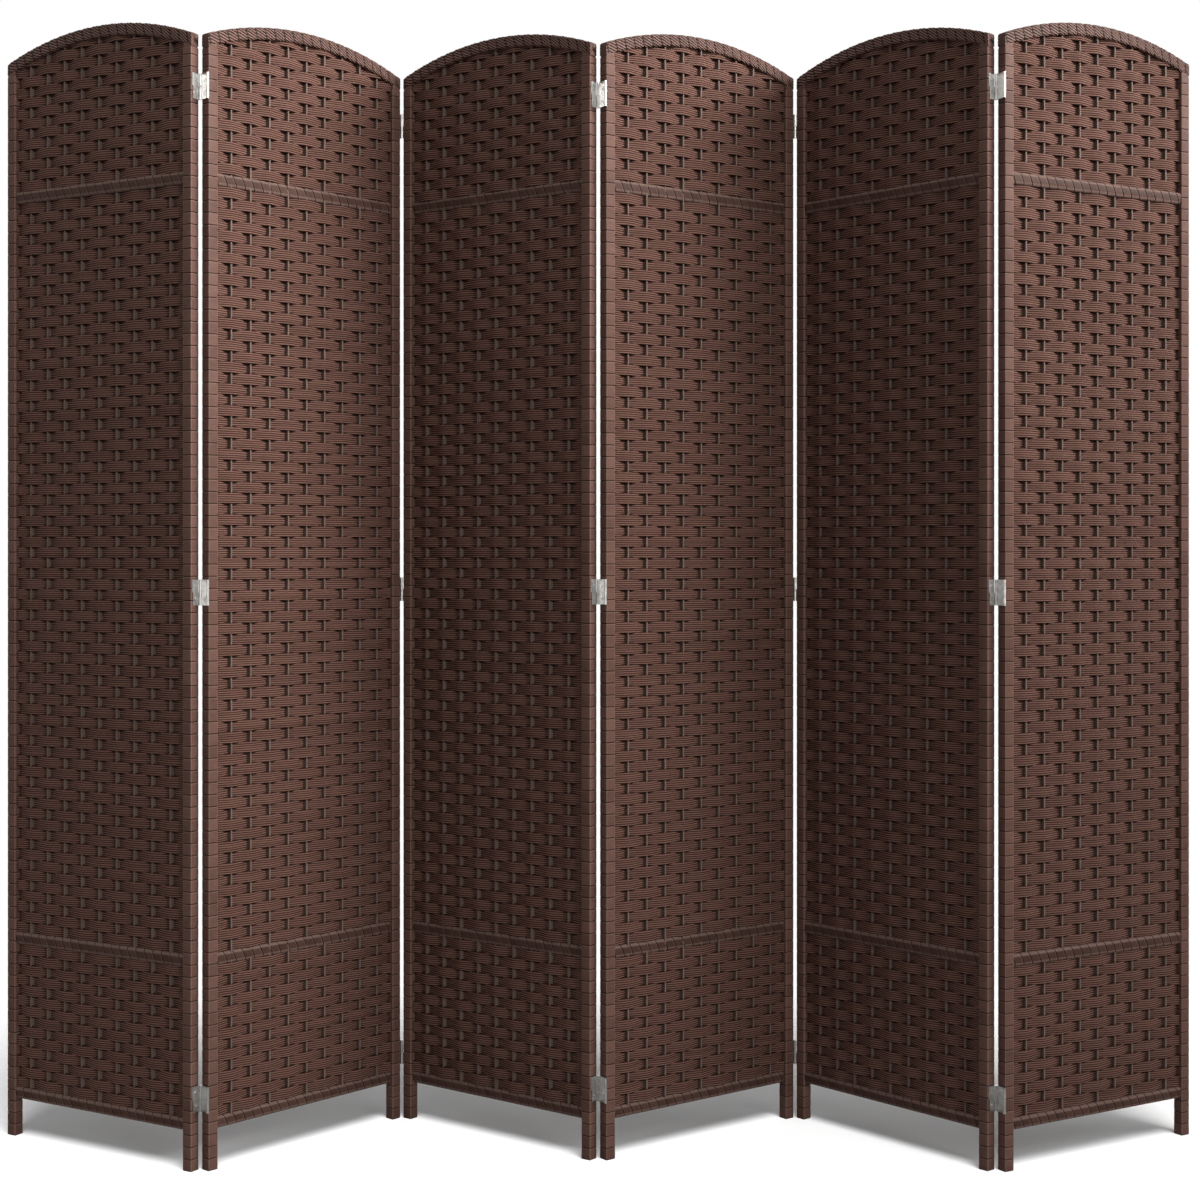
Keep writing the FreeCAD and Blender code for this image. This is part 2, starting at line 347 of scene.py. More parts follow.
@dataclass(frozen=True)
class RibbonFinish:
    """Satin paper ribbon wound edge to edge round the wood. Widths are shares of a turn or a side."""

    name: str = "wound_ribbon"
    light: Colour = (0.190, 0.104, 0.082)
    dark: Colour = (0.104, 0.054, 0.042)
    # the near-black colour of the painted shade in the seams between turns
    seam_shade: Colour = (0.008, 0.003, 0.002)
    # the pale colour of the painted highlight along each turn's top edge and along the corners
    edge: Colour = (0.36, 0.24, 0.20)
    seam_shade_width: float = 0.065
    fibres_per_turn: float = 26
    fibre_share: float = 0.7
    fibre_depth: float = 0.12 * MM
    tone_share: float = 0.35
    clouds: Span = (0.8, 1.3)
    cloud_layer: float = 4.0
    cloud_share: float = 0.4
    # where the painted highlight lies along each turn's top edge and along the corners, and how strong it is
    top_highlight_start: Span = (0.84, 0.92)
    top_highlight_end: Span = (0.95, 0.98)
    top_highlight_fibre: Span = (0.3, 0.7)
    top_highlight_share: Span = (0.1, 0.35)
    corner_highlight_width: Span = (0.02, 0.1)
    corner_share: float = 0.45
    corner_highlight_fibre: Span = (0.2, 0.7)
    corner_highlight_least: float = 0.5
    relief: float = 0.4
    roughness: float = 0.42
    gloss: float = 0.05

    def material(self) -> Material:
        """Fibres along the ribbon, a tone for each turn, painted shade in the seams and a painted highlight
        along each turn's top edge and along the corners.

        Returns:
            The material. Its UV map counts the sides that the ribbon goes round, with a corner at each whole
            number, and the turns across it.
        """
        shader = Shader(self.name)
        sides, turns = shader.lay()
        part = turns.fraction()
        to_seam = part.least(1 - part)
        to_corner = abs((sides + 0.5).fraction() - 0.5)
        tone = shader.chance(turns.floor())
        fibre = shader.noise(sides, turns * self.fibres_per_turn, 0.0, detail=3.0)
        cloud = shader.noise(sides * self.clouds[0], turns * self.clouds[1], self.cloud_layer, detail=1.0)
        share = 0.5 + fibre.swing(self.fibre_share) + tone.swing(self.tone_share)
        share = share + cloud.swing(self.cloud_share)
        body = shader.mix(share.ramp(0.0, 1.0), self.dark, self.light)
        # painted highlight: a pale band along the top edge of each turn and a pale strip along each corner,
        # broken up by the fibres
        band = part.ramp(*self.top_highlight_start) * part.ramp(*self.top_highlight_end, 1.0, 0.0)
        painted_top_highlight = band * fibre.ramp(*self.top_highlight_fibre, *self.top_highlight_share)
        corner = to_corner.ramp(*self.corner_highlight_width, self.corner_share, 0.0)
        painted_corner_highlight = corner * fibre.ramp(*self.corner_highlight_fibre, self.corner_highlight_least, 1.0)
        colour = shader.mix(painted_top_highlight + painted_corner_highlight, body, self.edge)
        # painted shade: the seams between turns darkened almost to black
        colour = shader.mix(to_seam.ramp(0.0, self.seam_shade_width, SEAM_SHADE_SHARE, 0.0), colour, self.seam_shade)
        roughness = self.roughness + fibre.swing(ROUGHNESS_SHARE)
        normal = shader.bump(fibre, self.fibre_depth, self.relief)
        return shader.finish(
            Base_Color=colour, Roughness=roughness, Normal=normal, Specular_IOR_Level=self.gloss)


@dataclass(frozen=True)
class WoundCordFinish:
    """Fine cord wound in slanting bands round the arched rail."""

    name: str = "wound_cord"
    # light is the crests' colour with a painted highlight; dark is the painted shade between cords and
    # between bands
    light: Colour = (0.230, 0.124, 0.098)
    dark: Colour = (0.010, 0.004, 0.003)
    crest: Span = (0.35, 0.95)
    painted_crest_share: float = 0.85
    flecks_per_metre: float = 180
    fleck_share: float = 0.4
    fleck_depth: float = 0.2 * MM
    tone_share: float = 0.2
    seam_shade_width: float = 0.13
    relief: float = 0.4
    roughness: float = 0.55
    gloss: float = 0.12

    def material(self) -> Material:
        """Cords with a painted highlight on their crests and painted shade between them and between the
        bands.

        Returns:
            The material. Its UV map counts cords and bands along the rail.
        """
        shader = Shader(self.name)
        cords, bands = shader.lay()
        ridge = abs((cords * math.pi).sine())
        part = bands.fraction()
        to_seam = part.least(1 - part)
        fleck = shader.grain(self.flecks_per_metre, self.flecks_per_metre)
        tone = shader.chance(cords.floor())
        # painted highlight on the crests and painted shade in the valleys between cords
        crest = ridge.ramp(*self.crest, 0.0, self.painted_crest_share)
        share = crest + fleck.swing(self.fleck_share) + tone.swing(self.tone_share)
        colour = shader.mix(share.ramp(0.0, 1.0), self.dark, self.light)
        # painted shade in the seams between bands
        colour = shader.mix(to_seam.ramp(0.0, self.seam_shade_width, SEAM_SHADE_SHARE, 0.0), colour, self.dark)
        roughness = self.roughness + fleck.swing(ROUGHNESS_SHARE)
        normal = shader.bump(fleck, self.fleck_depth, self.relief)
        return shader.finish(
            Base_Color=colour, Roughness=roughness, Normal=normal, Specular_IOR_Level=self.gloss)


@dataclass(frozen=True)
class StickFinish:
    """Thin wooden strips, stained dark brown. Grains and stains are counted in a metre, across and along."""

    name: str = "stained_strip"
    light: Colour = (0.205, 0.144, 0.120)
    dark: Colour = (0.130, 0.089, 0.074)
    grains: Span = (900, 22)
    grain_share: float = 0.7
    grain_depth: float = 0.1 * MM
    stains: Span = (9, 9)
    stain_share: float = 0.5
    tone_range: Span = (0.3, 0.9)
    relief: float = 0.4
    roughness: float = 0.5
    gloss: float = 0.08

    def material(self) -> Material:
        """Grain along the strip.

        Returns:
            The material.
        """
        shader = Shader(self.name)
        grain = shader.grain(*self.grains, detail=3.0)
        stain = shader.grain(*self.stains)
        share = (grain * self.grain_share + stain * self.stain_share).ramp(*self.tone_range)
        colour = shader.mix(share, self.dark, self.light)
        roughness = self.roughness + grain * ROUGHNESS_SHARE
        normal = shader.bump(grain, self.grain_depth, self.relief)
        return shader.finish(
            Base_Color=colour, Roughness=roughness, Normal=normal, Specular_IOR_Level=self.gloss)


@dataclass(frozen=True)
class NickelFinish:
    """Bright nickel plate on pressed steel. Lines and hazes are counted in a metre, across and along."""

    name: str = "nickel_plate"
    bright: Colour = (0.68, 0.67, 0.65)
    dull: Colour = (0.50, 0.49, 0.47)
    lines: Span = (2200, 60)
    line_depth: float = 0.03 * MM
    line_share: float = 0.12
    hazes: Span = (120, 120)
    haze_range: Span = (0.3, 0.7)
    haze_share: float = 0.08
    relief: float = 0.3
    roughness: float = 0.22
    metal: float = 0.9

    def material(self) -> Material:
        """Plate with fine upright rolling lines and a slight haze.

        Returns:
            The material.
        """
        shader = Shader(self.name)
        rolled = shader.grain(*self.lines)
        haze = shader.grain(*self.hazes)
        colour = shader.mix(haze.ramp(*self.haze_range), self.bright, self.dull)
        roughness = self.roughness + rolled * self.line_share + haze * self.haze_share
        normal = shader.bump(rolled, self.line_depth, self.relief)
        return shader.finish(Base_Color=colour, Roughness=roughness, Normal=normal, Metallic=self.metal)


RAIL_RIBBON = RibbonFinish(
    name="wound_rail_ribbon", seam_shade_width=0.09, light=(0.105, 0.057, 0.045), dark=(0.060, 0.031, 0.024))


@dataclass(frozen=True)
class Finishes:
    """The materials of the screen, each made once."""

    cord: Material = field(default_factory=CordFinish().material)
    ribbon: Material = field(default_factory=RibbonFinish().material)
    rail_ribbon: Material = field(default_factory=RAIL_RIBBON.material)
    wound_cord: Material = field(default_factory=WoundCordFinish().material)
    stick: Material = field(default_factory=StickFinish().material)
    nickel: Material = field(default_factory=NickelFinish().material)


def add_object(name: str, data: ID) -> Object:
    """Adds an object to the scene.

    Args:
        name: Its name.
        data: Its mesh, light or camera.

    Returns:
        The object.
    """
    made = bpy.data.objects.new(name, data)
    bpy.context.scene.collection.objects.link(made)
    return made


def add_lamp(light: Light, source: Vector) -> Object:
    """Adds a lamp to the scene.

    Args:
        light: Its light.
        source: The direction that the light comes from.

    Returns:
        The lamp.
    """
    lamp = add_object(light.name, light)
    lamp.rotation_mode = "QUATERNION"
    lamp.rotation_quaternion = source.to_track_quat("Z", "Y")
    return lamp


def stretches(values: Iterable[float], gap: float) -> list[Span]:
    """Finds the separate stretches that values fill.

    Args:
        values: Places along a line.
        gap: The least empty length that parts two stretches.

    Returns:
        The lowest and highest place of each stretch, in order.
    """
    found: list[list[float]] = []
    for value in sorted(values):
        if found and value - found[-1][1] <= gap:
            found[-1][1] = value
        else:
            found.append([value, value])
    return [(low, high) for low, high in found]


class RingPoint(NamedTuple):
    """A point of a section: its place, its outward direction, and how far round it is, also in sides."""

    spot: Vector
    out: Vector
    distance: float
    side: float

    def inside(self, inset: float) -> Vector:
        """The place that far inside the section's outline."""
        return self.spot - self.out * inset


@dataclass(frozen=True)
class Section:
    """A rounded rectangle across a post or rail, with its points going round it from the front face's top."""

    depth: float
    height: float
    radius: float
    side_steps: int
    corner_steps: int
    corner_share: float = 0.06

    def points(self) -> list[RingPoint]:
        """Points down the front, along the underside, up the back and along the top.

        Returns:
            The points, with places as (depth, height) and a corner at each whole side. The last one closes
            the ring on the first.
        """
        across, up = self.depth / 2 - self.radius, self.height / 2 - self.radius
        corners = [Vector((-across, up)), Vector((-across, -up)), Vector((across, -up)), Vector((across, up))]
        ring: list[tuple[Vector, Vector, float]] = []
        for turn, centre in enumerate(corners):
            start = math.pi / 2 * (turn + 1)
            for step in range(self.corner_steps + 1):
                angle = start + step * math.pi / 2 / self.corner_steps
                out = Vector((math.cos(angle), math.sin(angle)))
                side = turn + (2 * step / self.corner_steps - 1) * self.corner_share
                ring.append((centre + out * self.radius, out, side))
            following = corners[(turn + 1) % SIDES] + out * self.radius
            for step in range(1, self.side_steps):
                share = step / self.side_steps
                side = turn + self.corner_share + share * (1 - 2 * self.corner_share)
                ring.append((ring[-1][0].lerp(following, 1 / (self.side_steps - step + 1)), out, side))
        ring.append((ring[0][0], ring[0][1], SIDES - self.corner_share))
        points, distance = [], 0.0
        for index, (spot, out, side) in enumerate(ring):
            distance += (spot - ring[index - 1][0]).length if index else 0.0
            points.append(RingPoint(spot, out, distance, side))
        return points


class Mesh:
    """A mesh under construction, whose UV map says where its surface lies on the wound or woven material."""

    def __init__(self) -> None:
        """Starts an empty mesh."""
        self.bm = bmesh.new()
        self.uv = self.bm.loops.layers.uv.new(LAY)

    def sleeve(self, spots: list[Spot], ring: int) -> None:
        """Adds a grid that goes round a piece.

        Args:
            spots: The points, ring by ring along the piece.
            ring: How many points a ring has, with the last one closing it on the first.
        """
        rings = len(spots) // ring
        verts = bmesh.ops.create_grid(self.bm, x_segments=ring - 1, y_segments=rings - 1, size=0.5)["verts"]
        lays = {}
        for vert, (place, lay) in zip(verts, spots):
            vert.co = place
            lays[vert] = lay
        for face in {face for vert in verts for face in vert.link_faces}:
            for loop in face.loops:
                loop[self.uv].uv = lays[loop.vert]

    def close(self) -> None:
        """Merges the seams, fills the open ends and turns the faces outwards."""
        bmesh.ops.remove_doubles(self.bm, verts=self.bm.verts, dist=MERGE_DISTANCE)
        open_edges = [edge for edge in self.bm.edges if edge.is_boundary]
        bmesh.ops.holes_fill(self.bm, edges=open_edges, sides=0)
        bmesh.ops.recalc_face_normals(self.bm, faces=self.bm.faces)

    def piece(self, name: str, material: Material, body: str,
              replaced: tuple[str, ...] = (), sharp_angle: float = math.radians(32)) -> None:
        """Closes the mesh and finishes it as an object of the scene that rides on a body.

        Args:
            name: The piece's name.
            material: Its material.
            body: The CAD body that it rides on.
            replaced: The CAD nodes that it stands for.
            sharp_angle: Edges that turn by more stay sharp.
        """
        self.close()
        for face in self.bm.faces:
            face.smooth = True
        for edge in self.bm.edges:
            edge.smooth = edge.calc_face_angle(0.0) < sharp_angle
        data = bpy.data.meshes.new(name)
        self.bm.to_mesh(data)
        self.bm.free()
        data.materials.append(material)
        made = add_object(name, data)
        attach(made, body)
        if replaced:
            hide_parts(*replaced)
        LOG.info("%s: %d faces, on %s", name, len(data.polygons), body)


@dataclass(frozen=True, eq=False)
class PanelFrame:
    """Where one panel stands, read from its packed posts."""

    number: int
    corner: Vector
    along: Vector
    width: float
    post: float
    post_top: float

    @classmethod
    def read(cls, number: int) -> "PanelFrame":
        """Finds a panel's place from its two posts.

        Args:
            number: The panel's number, from the left.

        Returns:
            The panel's place and its main sizes.
        """
        boxes = [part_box(f"panel_{number}_{side.value}_post") for side in Side]
        left, right = ((low + high) / 2 for low, high in boxes)
        along = right - left
        along.z = 0
        reach = along.length
        along.normalize()
        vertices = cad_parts[f"panel_{number}_left_post"].data.vertices
        offsets = [(vertex.co - left).dot(along) for vertex in vertices]
        post = max(offsets) - min(offsets)
        corner = left - along * (post / 2)
        corner.z = 0
        return cls(number, corner, along, reach + post, post, boxes[0][1].z)

    @property
    def body(self) -> str:
        """The CAD body of the panel."""
        return f"panel_{self.number}"

    def node(self, part: str) -> str:
        """The name of one of the panel's CAD nodes."""
        return f"panel_{self.number}_{part}"

    @cache
    def rails(self) -> list[Span]:
        """The underside and top of the bottom rail and of the two cross rails."""
        return stretches((p.z for p in self.local(self.node("cross_rails"))), RAIL_GAP)

    @cache
    def sticks(self) -> tuple[list[float], float]:
        """Finds the warp sticks.

        Returns:
            Their middles along the panel, and their depth.
        """
        points = self.local(self.node("warp_sticks"))
        middles = [sum(span) / 2 for span in stretches((p.x for p in points), STICK_GAP)]
        return middles, max(p.y for p in points) - min(p.y for p in points)

    def world(self, u: float, v: float, z: float) -> Vector:
        """A point of the panel's own frame in the shared frame."""
        return self.corner + self.along * u + Vector((-self.along.y * v, self.along.x * v, z))

    def local(self, node: str) -> list[Vector]:
        """A CAD node's vertices in the panel's own frame.

        Args:
            node: The node's name.

        Returns:
            The points as (u, v, z).
        """
        back = Vector((-self.along.y, self.along.x, 0))
        offsets = [vertex.co - self.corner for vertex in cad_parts[node].data.vertices]
        return [Vector((offset.dot(self.along), offset.dot(back), offset.z)) for offset in offsets]


@dataclass(frozen=True)
class Arch:
    """The arcs above and under a panel's top rail, which share one centre."""

    middle: float
    hub: float
    outer: float
    inner: float
    depth: float

    @classmethod
    def read(cls, panel: PanelFrame) -> "Arch":
        """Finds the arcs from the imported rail.

        Args:
            panel: The panel.

        Returns:
            The arcs and the rail's depth.
        """
        points = panel.local(panel.node("top_rail"))
        half = panel.width / 2
        crown = max(p.z for p in points)
        rise = crown - max(p.z for p in points if p.x < EDGE_STRIP)
        outer = (half * half + rise * rise) / (2 * rise)
        hub = crown - outer
        inner = math.hypot(half, panel.post_top - hub)
        return cls(half, hub, outer, inner, max(p.y for p in points) - min(p.y for p in points))

    def height(self, u: float, inside: float = 0.0) -> float:
        """The height of the rail's underside at a place along the panel, or of a line inside the rail."""
        return self.hub + math.sqrt((self.inner + inside) ** 2 - (u - self.middle) ** 2)

    def half_width(self, z: float, inside: float = 0.0) -> float:
        """How far from the panel's middle the rail's underside, or a line inside it, reaches a height."""
        return math.sqrt(max((self.inner + inside) ** 2 - max(z - self.hub, 0.0) ** 2, 0.0))


def ribbon_profile(edge: float, groove: float, inset: float) -> list[Span]:
    """One turn's rings, a groove and a block that swells a little, as shares of the turn and insets."""
    return [(0.0, groove), (edge, inset), (0.5, 0.0), (1 - edge, inset)]


@dataclass
class WoundPost:
    """A square post wound with ribbon, each turn a flat block with a groove above and below."""

    panel: PanelFrame
    side: Side
    ribbon: float = 18.8 * MM
    ribbon_edge: float = 0.04
    groove: float = 0.75 * MM
    face_inset: float = 0.1 * MM
    foot_inset: float = 0.5 * MM
    end_clear: Span = (0.1 * MM, 0.5 * MM)
    corner_radius: float = 1.2 * MM
    neck_inset: float = 1.3 * MM
    neck: Span = (0.1 * MM, 8 * MM)
    # so that like pieces don't share their tones
    turns_apart: int = 100

    def levels(self) -> list[Span]:
        """The rings up the post.

        Returns:
            For each ring its height and how far it stands inside the CAD face.
        """
        top = self.panel.post_top
        rings = [(0.0, self.foot_inset)]
        turn = 0.0
        while turn < top:
            for share, inset in ribbon_profile(self.ribbon_edge, self.groove, self.face_inset):
                z = turn + share * self.ribbon
                if self.end_clear[0] < z < top - self.end_clear[1]:
                    rings.append((z, inset))
            turn += self.ribbon
        return rings + [(top, self.groove)] + [(top + rise, self.neck_inset) for rise in self.neck]

    def build(self, material: Material) -> None:
        """Builds the post and the neck that goes up into the arched rail.

        Args:
            material: The ribbon.
        """
        post, number = self.panel.post, self.panel.number
        ring = Section(post, post, self.corner_radius, side_steps=2, corner_steps=3).points()
        left = self.side is Side.LEFT
        centre = post / 2 if left else self.panel.width - post / 2
        first_turn = self.turns_apart * (number if left else number + 0.5)
        spots: list[Spot] = []
        for z, inset in self.levels():
            for place in ring:
                across = place.inside(inset)
                lay = (place.side + SIDES * number, z / self.ribbon + first_turn)
                spots.append((self.panel.world(centre + across.y, across.x, z), lay))
        mesh = Mesh()
        mesh.sleeve(spots, len(ring))
        node = self.panel.node(f"{self.side.value}_post")
        mesh.piece(f"{node}_wound", material, self.panel.body, (node,))


@dataclass
class WoundRails:
    """The two cross rails and the bottom rail, wound with slanting ribbon."""

    panel: PanelFrame
    ribbon: float = 17.8 * MM
    ribbon_edge: float = 0.05
    groove: float = 0.8 * MM
    face_inset: float = 0.1 * MM
    corner_radius: float = 5 * MM
    seat: float = 3 * MM
    spare_turns: int = 2
    # so that like pieces don't share their tones
    turns_apart: int = 1000
    lowest_turn: int = 100
    turns_per_metre: int = 300

    def build(self, material: Material) -> None:
        """Builds the three rails as one piece.

        Args:
            material: The ribbon.
        """
        node = self.panel.node("cross_rails")
        points = self.panel.local(node)
        first, last = self.panel.post, self.panel.width - self.panel.post
        depth = 2 * max(abs(p.y) for p in points if first < p.x < last)
        mesh = Mesh()
        for height in self.panel.rails():
            self.wind(mesh, height, depth)
        mesh.piece(f"{node}_wound", material, self.panel.body, (node,))

    def wind(self, mesh: Mesh, height: Span, depth: float) -> None:
        """Adds one rail, whose ribbon slants on the front and back and runs straight over the edges.

        Args:
            mesh: The mesh that the rail goes into.
            height: Its underside and its top.
            depth: Its depth from front to back.
        """
        rise, middle = height[1] - height[0], sum(height) / 2
        ring = Section(depth, rise, self.corner_radius, side_steps=3, corner_steps=3).points()
        start, end = self.panel.post - self.seat, self.panel.width - self.panel.post + self.seat
        turns = range(-self.spare_turns, math.ceil((end - start) / self.ribbon) + self.spare_turns)
        profile = ribbon_profile(self.ribbon_edge, self.groove, self.face_inset)
        first_turn = self.turns_apart * self.panel.number + self.lowest_turn
        first_turn += round(height[0] * self.turns_per_metre)
        spots: list[Spot] = []
        for turn, (share, inset) in itertools.product(turns, profile):
            phase = turn + share
            for place in ring:
                free = start + (phase + self.slant(place, rise)) * self.ribbon
                along = min(max(free, start), end)
                across = place.inside(inset if start < free < end else self.groove)
                lay = (place.side + SIDES * self.panel.number, first_turn + phase)
                spots.append((self.panel.world(along, across.x, middle + across.y), lay))
        mesh.sleeve(spots, len(ring))

    def slant(self, place: RingPoint, rise: float) -> float:
        """How far the ribbon has moved on at a point of the section, in turns.

        Args:
            place: The point.
            rise: The rail's height.

        Returns:
            From 0 at the front's top to a half under the rail and 1 at the back's top.
        """
        down = 0.5 - place.spot.y / rise
        underside_middle = 1.5
        return 0.5 * down if place.side < underside_middle else 1 - 0.5 * down


@dataclass
class ArchedRail:
    """The arched top rail, wound with bands of fine cord that slant more than the bands do."""

    panel: PanelFrame
    arch: Arch
    band: float = 18.9 * MM
    band_relief: float = 1.1 * MM
    band_fullness: float = 0.45
    band_shift: float = 0.5
    cords_in_band: float = 2.3
    cord_turns: float = 15.5
    cord_relief: float = 0.9 * MM
    corner_radius: float = 3.2 * MM
    steps: int = 476
    # so that like pieces don't share their tones
    bands_apart: int = 100
    cords_apart: int = 400

    def build(self, material: Material) -> None:
        """Builds the rail along its arc, with upright ends over the posts.

        Args:
            material: The wound cord.
        """
        half, hub, outer, inner = self.arch.middle, self.arch.hub, self.arch.outer, self.arch.inner
        height, number = outer - inner, self.panel.number
        ring = Section(self.arch.depth, height, self.corner_radius, side_steps=11, corner_steps=3).points()
        outer_half, inner_half = math.asin(half / outer), math.asin(half / inner)
        spots: list[Spot] = []
        for step, place in itertools.product(range(self.steps + 1), ring):
            along = outer * 2 * outer_half * step / self.steps
            turned = place.distance / ring[-1].distance
            bands = along / self.band - turned
            cords = along / self.band * self.cords_in_band - turned * self.cord_turns
            cords -= self.band_shift * math.floor(bands)
            swell = abs(math.sin(math.pi * bands)) ** self.band_fullness
            crest = abs(math.sin(math.pi * cords))
            across = place.inside(self.band_relief * (1 - swell) + self.cord_relief * (1 - crest))
            share = across.y / height + 0.5
            radius = inner + height * share
            angle = (2 * step / self.steps - 1) * ((1 - share) * inner_half + share * outer_half)
            u, z = half + radius * math.sin(angle), hub + radius * math.cos(angle)
            lay = (cords + self.cords_apart * number, bands + self.bands_apart * number)
            spots.append((self.panel.world(u, across.x, z), lay))
        mesh = Mesh()
        mesh.sleeve(spots, len(ring))
        node = self.panel.node("top_rail")
        mesh.piece(f"{node}_wound", material, self.panel.body, (node,))


@dataclass
class WovenFields:
    """The three woven fields: bands of five cords that go in front of one stick and behind the next."""

    panel: PanelFrame
    arch: Arch
    row_pitch: float = 17 * MM
    cords: int = 5
    thickness: float = 2.2 * MM
    height: float = 17.3 * MM
    lip: float = 1.8 * MM
    lip_fullness: float = 1.6
    lean: float = 2.8 * MM
    bay_steps: int = 4
    straightness: float = 0.7
    post_seat: float = 1 * MM
    rail_seat: Span = (4 * MM, 13 * MM)
    least_half_width: float = 20 * MM
    least_step: float = 0.25
    unevenness: float = 0.2 * MM
    seed: int = 20
    # so that like pieces don't share their tones
    cords_apart: int = 2000

    def build(self, material: Material) -> None:
        """Weaves the fields row by row.

        Args:
            material: The paper cord.
        """
        node = self.panel.node("weave")
        chance = random.Random(self.seed + self.panel.number)
        rails = self.panel.rails()
        crown = self.arch.height(self.panel.width / 2)
        fields = [(rails[0][1], rails[1][0]), (rails[1][1], rails[2][0]), (rails[2][1], crown)]
        mesh = Mesh()
        number = 0
        for index, (low, high) in enumerate(fields):
            under_arch = index == len(fields) - 1
            rows = (high - low) / self.row_pitch
            count = math.ceil(rows) if under_arch else round(rows)
            pitch = self.row_pitch if under_arch else (high - low) / count
            for row in range(count):
                behind_first = (row % 2 == 0) != under_arch
                self.weave_band(mesh, low + (row + 0.5) * pitch, behind_first, number, chance)
                number += 1
        mesh.piece(f"{node}_bands", material, self.panel.body, (node,), math.pi)

    def wave(self, bays: float) -> float:
        """A band's place across the sticks: 1 at even ones, -1 at odd ones, nearly straight between."""
        straight = 1 - 2 * abs((bays + 1) % 2 - 1)
        return self.straightness * straight + (1 - self.straightness) * math.cos(math.pi * bays)

    def stations(self, z: float, first: float, bay: float) -> list[float]:
        """Where a band's rings stand along the panel.

        Args:
            z: The height of the band's middle.
            first: The place of the first stick.
            bay: The distance between sticks.

        Returns:
            The band's two ends, just inside the posts or the arched rail, and even steps from stick to stick.
        """
        middle = self.panel.width / 2
        half = min(middle - self.panel.post + self.post_seat,
                   self.arch.half_width(z - self.height / 2, self.rail_seat[0]))
        half = max(half, self.least_half_width)
        step = bay / self.bay_steps
        lowest = math.ceil((middle - half - first) / step)
        highest = math.floor((middle + half - first) / step)
        inner = [first + index * step for index in range(lowest, highest + 1)]
        inner = [u for u in inner if abs(u - middle) < half - step * self.least_step]
        return [middle - half] + inner + [middle + half]

    @staticmethod
    def outline() -> list[tuple[float, float, float, float]]:
        """Describes the section of a band, going round it from the foot of its front.

        Returns:
            For each point its height, lip, depth and lean towards the sticks, as shares of the band's sizes.
            The last one closes the ring on the first.
        """
        face = [(-0.96, 0, -0.9, 0), (-0.82, 0, -1.04, 0), (0.82, 0, -1.04, 0), (0.96, 0, -0.9, 0)]
        half = face + [(1, 0, -0.35, 0.6), (1, 1, 0, 1), (1, 0, 0.35, 0.6)]
        return half + [(-up, -tip, -out, lean) for up, tip, out, lean in half] + [half[0]]

    def weave_band(self, mesh: Mesh, z: float, behind_first: bool, number: int,
                   chance: random.Random) -> None:
        """Adds one band.

        Args:
            mesh: The mesh that it goes into.
            z: The height of its middle.
            behind_first: Whether it goes behind the first stick.
            number: Its number in the panel, which sets its cords apart.
            chance: The source of its small unevenness.
        """
        sticks, stick_depth = self.panel.sticks()
        bay = sticks[1] - sticks[0]
        swing = (stick_depth + self.thickness) / 2 * (1 if behind_first else -1)
        middle = z + chance.uniform(-self.unevenness, self.unevenness)
        lead = chance.uniform(0, 1)
        outline = self.outline()
        first_cord = (self.cords + 1) * number + self.cords_apart * self.panel.number
        spots: list[Spot] = []
        for u in self.stations(z, sticks[0], bay):
            wave = self.wave((u - sticks[0]) / bay)
            fullness = min(1.0, self.lip_fullness * abs(wave))
            roof = self.arch.height(u, self.rail_seat[1])
            for up, tip, out, lean in outline:
                inward = math.copysign(lean * self.lean * wave, swing * wave)
                v = swing * wave + out * self.thickness / 2 - inward
                level = middle + up * self.height / 2 + tip * self.lip * fullness
                lay = (u + lead, (up + 1) / 2 * self.cords + first_cord)
                spots.append((self.panel.world(u, v, min(level, roof)), lay))
        mesh.sleeve(spots, len(outline))


